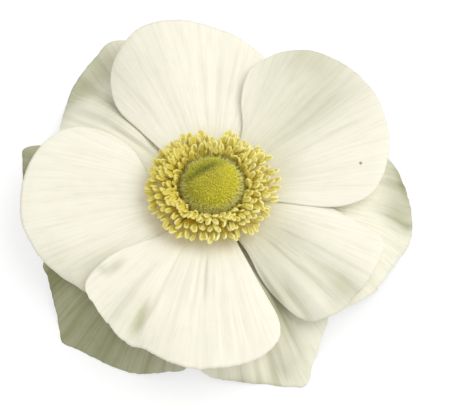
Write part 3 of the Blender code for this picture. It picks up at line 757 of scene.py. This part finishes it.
def make_dome(material, rng):
    """The dome's skin, with buds set on it in the spiral order of a flower head."""
    piece = Builder("tone", "shade", "tip", "fringe")
    sides, steps = 96, 44
    rings = []
    for j in range(steps + 1):
        rise = -1.0 + (1.0 + DOME_CLOSE) * j / steps
        ring = []
        for k in range(sides):
            place = dome_point(2 * math.pi * k / sides, rise)
            ring.append(piece.vert(place, tone=dome_painted_light(place), shade=dome_shade(place),
                                   fringe=dome_fringe(place)))
        rings.append(ring)
    piece.tube(rings)
    golden = math.pi * (3.0 - math.sqrt(5.0))
    above = 0.75              # part of the buds that stand above the widest level
    for number in range(CARPELS):
        part = (number + 0.5) / CARPELS
        if part < above:
            rise = math.asin(1.0 - part / above) * 2 / math.pi
        else:
            rise = -0.5 * (part - above) / (1.0 - above)
        root = dome_point(golden * number + rng.uniform(-0.06, 0.06),
                          rise + rng.uniform(-0.03, 0.03))
        up = Vector((0, 0, 0.35))
        way = (dome_outward(root) + jitter(rng, 0.25) + up).normalized()
        values = dict(tone=limit(dome_painted_light(root) + rng.uniform(-0.2, 0.2)),
                      shade=dome_shade(root), fringe=dome_fringe(root))
        spire(piece, root - way * ROOTED, way, BUD_THICK, rng.uniform(*BUD_LONG),
              ((0.0, 1.0), (0.3, 0.95), (0.6, 0.5), (0.85, 0.25)), values)
    piece.make_object("dome_of_carpels", material, [DOME])


def make_hairs(material, rng):
    """Short hairs on the upper dome, and a fringe of long pale ones round its widest part."""
    piece = Builder("tone", "shade", "tip")
    for number in range(HAIRS):
        fringe = number < HAIRS * FRINGE_SHARE
        rise = rng.gauss(-0.05, 0.13) if fringe else rng.random() ** 0.8
        root = dome_point(rng.uniform(0, 2 * math.pi), rise)
        up = Vector((0, 0, 0.25 if fringe else 0.1))
        way = (dome_outward(root) + jitter(rng, 0.4) + up).normalized()
        tone = rng.uniform(0.7, 1.0) if fringe else rng.uniform(0.0, 0.6)
        long = (FRINGE_LONG if fringe else HAIR_LONG) * rng.uniform(0.5, 1.2)
        values = dict(tone=tone, shade=dome_shade(root))
        spire(piece, root, way, HAIR_THICK, long, ((0.0, 1.0),), values)
    piece.make_object("carpel_hairs", material)


# --- stamens ----------------------------------------------------------------------------
def anther(piece, neck, along, around, deep, size, tone):
    """Two fat lobes side by side, with a groove down the face and the back."""
    sides, steps = 16, 9
    rings = []
    for j in range(steps + 1):
        part = j / steps
        full = max(0.16, max(0.0, 1.0 - abs(2 * part - 1) ** 3.2) ** 0.5)
        place = neck + along * (ANTHER_LONG * size * part)
        ring = []
        for k in range(sides):
            angle = 2 * math.pi * k / sides
            cleft = bell((abs(math.sin(angle)) - 1.0) / 0.2)
            bulge = 1.0 - 0.42 * cleft * ease(full * 1.3 - 0.2)
            offset = around * (ANTHER_WIDE * math.cos(angle) * full)
            offset += deep * (ANTHER_DEEP * math.sin(angle) * full * bulge)
            pale = min(1.0, 0.7 * tone + 0.45 * part)
            ring.append(piece.vert(place + offset * size, tone=pale, thread=0.0,
                                   groove=cleft * ease(full * 2 - 0.8)))
        rings.append(ring)
    piece.tube(rings)


def filament(piece, base, neck, rise):
    """A thin curved thread from the foot to the neck of the anther."""
    sides, steps = 6, 5
    middle = base.lerp(neck, 0.5) + rise
    rings = []
    for j in range(steps + 1):
        t = j / steps
        place = base * (1 - t) ** 2 + middle * (2 * t * (1 - t)) + neck * t ** 2
        thick = FILAMENT_FOOT + (FILAMENT_NECK - FILAMENT_FOOT) * t
        ring = []
        for k in range(sides):
            offset = Vector((*polar(360.0 * k / sides, thick), 0.0))
            ring.append(piece.vert(place + offset, tone=0.2, groove=0.0, thread=1.0))
        rings.append(ring)
    piece.tube(rings)


def ring_reach(azimuth, row, outer):
    """How far the ring's clumps, tufts and gaps push an anther outwards."""
    reach = CLUMP * noise.noise(Vector((*polar(azimuth, 1.6), row * 0.7)))
    for where, width, push in RING_TUFTS:
        reach += push * bell(turn(azimuth, where) / width)
    return reach * outer


def grow_stamen(piece, azimuth, row, rng):
    """One stamen of a row; the inner rows lie lower and further out at the near side."""
    radius, height, lean = ROWS[row][1:]
    outer = row / (len(ROWS) - 1)
    azimuth += rng.uniform(-2.6, 2.6)
    away = math.sin(math.radians(azimuth))
    spread = max(0.0, 1.0 - 2.0 * outer) * max(0.0, -away)
    radius += rng.uniform(-0.5, 0.5) + ring_reach(azimuth, row, outer)
    radius += NEAR_OUT * spread
    radius = max(RING_IN, radius * (1.0 - RING_FLAT * away ** 2))
    height += rng.uniform(-0.55, 0.5) - NEAR_DOWN * spread
    lean = math.radians(lean + rng.uniform(-18, 18))
    outward = Vector((*polar(azimuth, 1.0), 0.0))
    around = Vector((-outward.y, outward.x, 0.0))
    along = outward * math.sin(lean) + Vector((0, 0, 1)) * math.cos(lean)
    along = (along + around * rng.uniform(-0.5, 0.5)).normalized()
    around = (around - along * around.dot(along)).normalized()
    deep = along.cross(around)
    twist = rng.uniform(-0.9, 0.9)
    around, deep = (around * math.cos(twist) + deep * math.sin(twist),
                    deep * math.cos(twist) - around * math.sin(twist))
    size = rng.uniform(0.84, 1.12)
    middle = outward * radius + Vector((0, 0, height))
    neck = middle - along * (0.5 * ANTHER_LONG * size)
    foot = STAND_IN + (STAND_OUT - STAND_IN) * outer
    base = Vector((*polar(azimuth, foot), FOOT_TOP - ROOTED))
    filament(piece, base, neck + along * 0.25, Vector((0, 0, 0.5)))
    shadow = 0.7 * max(0.0, -outward.x)
    tone = (rng.uniform(0.0, 0.4) + 0.6 * outer) * (1.0 - shadow)
    anther(piece, neck, along, around, deep, size, tone)


def make_pad(piece, middle, half):
    """The piece of the rim that a group of stamens stands on."""
    steps = 6
    corners = ((FOOT_IN, FOOT_LOW), (FOOT_OUT, FOOT_LOW), (FOOT_OUT, FOOT_TOP),
               (FOOT_IN, FOOT_TOP))
    rings = []
    for k in range(steps + 1):
        azimuth = middle - half + 2 * half * k / steps
        rings.append([piece.vert((*polar(azimuth, radius), height), tone=0.2, thread=1.0)
                      for radius, height in corners])
    piece.tube(rings)


def make_stamens(material, rng):
    step = 360.0 / GROUPS
    for number in range(GROUPS):
        piece = Builder("tone", "groove", "thread")
        middle = number * step
        make_pad(piece, middle, 0.5 * (step - GROUP_GAP))
        for row, (count, *_) in enumerate(ROWS):
            for k in range(count):
                grow_stamen(piece, middle + step * ((k + 0.5) / count - 0.5), row, rng)
        piece.make_object("stamens_%02d" % (number + 1), material,
                          ["stamen_group_%02d" % (number + 1)])


# --- surroundings -----------------------------------------------------------------------
TILT = math.radians(27.0)       # camera's lean from straight down, towards -Y
DISTANCE = 600.0                # from the picture's middle to the camera
VIEW_WIDE = 82.8                # width seen at the flower, in millimetres
AIM_HEIGHT = 12.0               # the picture's middle lies at this height on the axis,
AIM_RIGHT, AIM_DOWN = 2.4, 3.7  # moved this far to the right and down in the picture
WORLD_LIGHT = 0.72              # the white world's light, where it isn't seen directly
FLOOR_HALF = 3.0                # half the floor's width, in metres
FLOOR_BOUNCE = 0.8              # grey of the floor for the light that it throws back
FLOOR_SEEN = 0.35               # grey that the camera sees, on top of its glow
FLOOR_GLOW = 0.7


def make_camera():
    data = bpy.data.cameras.new("camera")
    data.sensor_width = 36.0
    data.lens = data.sensor_width * DISTANCE / VIEW_WIDE
    data.clip_start = 0.01
    data.clip_end = 10.0
    cam = add_object("camera", data)
    back = Vector((0.0, -math.sin(TILT), math.cos(TILT)))
    down = Vector((0.0, -math.cos(TILT), -math.sin(TILT)))
    aim = Vector((AIM_RIGHT, 0.0, AIM_HEIGHT)) + down * AIM_DOWN
    cam.location = AXIS + (aim + back * DISTANCE) * MM
    cam.rotation_euler = (TILT, 0.0, 0.0)
    bpy.context.scene.camera = cam


def make_lamp(name, azimuth, elevation, spread, strength):
    """A distant soft lamp: spread is how wide it looks from the flower, in degrees."""
    data = bpy.data.lights.new(name, "SUN")
    data.angle = math.radians(spread)
    data.energy = strength
    lamp = add_object(name, data)
    rise = math.radians(elevation)
    way = Vector((*polar(azimuth, math.cos(rise)), math.sin(rise)))
    lamp.location = way
    lamp.rotation_euler = way.to_track_quat("Z", "Y").to_euler()


def make_world():
    """White surroundings: full white for the camera and reflections, dimmer as a light."""
    world = bpy.data.worlds.new("studio")
    bpy.context.scene.world = world
    world.use_nodes = True
    tree = world.node_tree
    back = tree.nodes["Background"]
    back.inputs[0].default_value = (1.0, 1.0, 1.0, 1.0)
    path = tree.nodes.new("ShaderNodeLightPath")
    level = tree.nodes.new("ShaderNodeMapRange")
    level.inputs[3].default_value = WORLD_LIGHT
    level.inputs[4].default_value = 1.0
    seen = tree.nodes.new("ShaderNodeMath")
    seen.operation = "MAXIMUM"
    tree.links.new(path.outputs["Is Camera Ray"], seen.inputs[0])
    tree.links.new(path.outputs["Is Glossy Ray"], seen.inputs[1])
    tree.links.new(seen.outputs[0], level.inputs[0])
    tree.links.new(level.outputs[0], back.inputs[1])


def make_floor():
    """A floor that looks as white as the world, apart from the flower's soft shadow."""
    mesh = bpy.data.meshes.new("floor")
    mesh.from_pydata([(-FLOOR_HALF, -FLOOR_HALF, 0), (FLOOR_HALF, -FLOOR_HALF, 0),
                      (FLOOR_HALF, FLOOR_HALF, 0), (-FLOOR_HALF, FLOOR_HALF, 0)],
                     [], [(0, 1, 2, 3)])
    n = Nodes("floor_white")
    n.shader.inputs["Roughness"].default_value = 0.9
    n.shader.inputs["Specular IOR Level"].default_value = 0.0
    n.shader.inputs["Emission Color"].default_value = (1.0, 1.0, 1.0, 1.0)
    seen = n.add("ShaderNodeLightPath").outputs["Is Camera Ray"]
    n.put(n.shader.inputs["Emission Strength"], n.maths("MULTIPLY", seen, FLOOR_GLOW))
    grey = n.mix(seen, (FLOOR_BOUNCE, FLOOR_BOUNCE, FLOOR_BOUNCE, 1.0),
                 (FLOOR_SEEN, FLOOR_SEEN, FLOOR_SEEN, 1.0))
    n.put(n.shader.inputs["Base Color"], grey)
    mesh.materials.append(n.mat)
    floor = add_object("floor", mesh)


def main():
    rng = random.Random(SEED)
    x, y = polar(*SPECK)
    speck = (AXIS.x + x * MM, AXIS.y + y * MM, 0.0)
    cream = petal_material("petal_cream", srgb(252, 248, 230), srgb(176, 178, 140),
                           srgb(220, 200, 104), speck)
    # The outer tepals: their dark colour is a deeper painted shade, for tepals that lie in shade,
    # with some of their own greener tint.
    green = petal_material("petal_green_cast", srgb(251, 248, 227), srgb(140, 143, 97),
                           srgb(206, 194, 104))
    for name, shape in TEPALS.items():
        if "outer" in name:
            make_tepal(name, shape, green)
        else:
            make_tepal(name, shape, cream)
    make_receptacle(stalk_material())
    make_dome(dome_material(), rng)
    make_hairs(hair_material(), rng)
    make_stamens(anther_material(), rng)
    make_camera()
    make_lamp("key", azimuth=20, elevation=55, spread=50, strength=1.15)
    make_world()
    make_floor()
    bpy.context.scene.view_settings.view_transform = "Standard"


main()
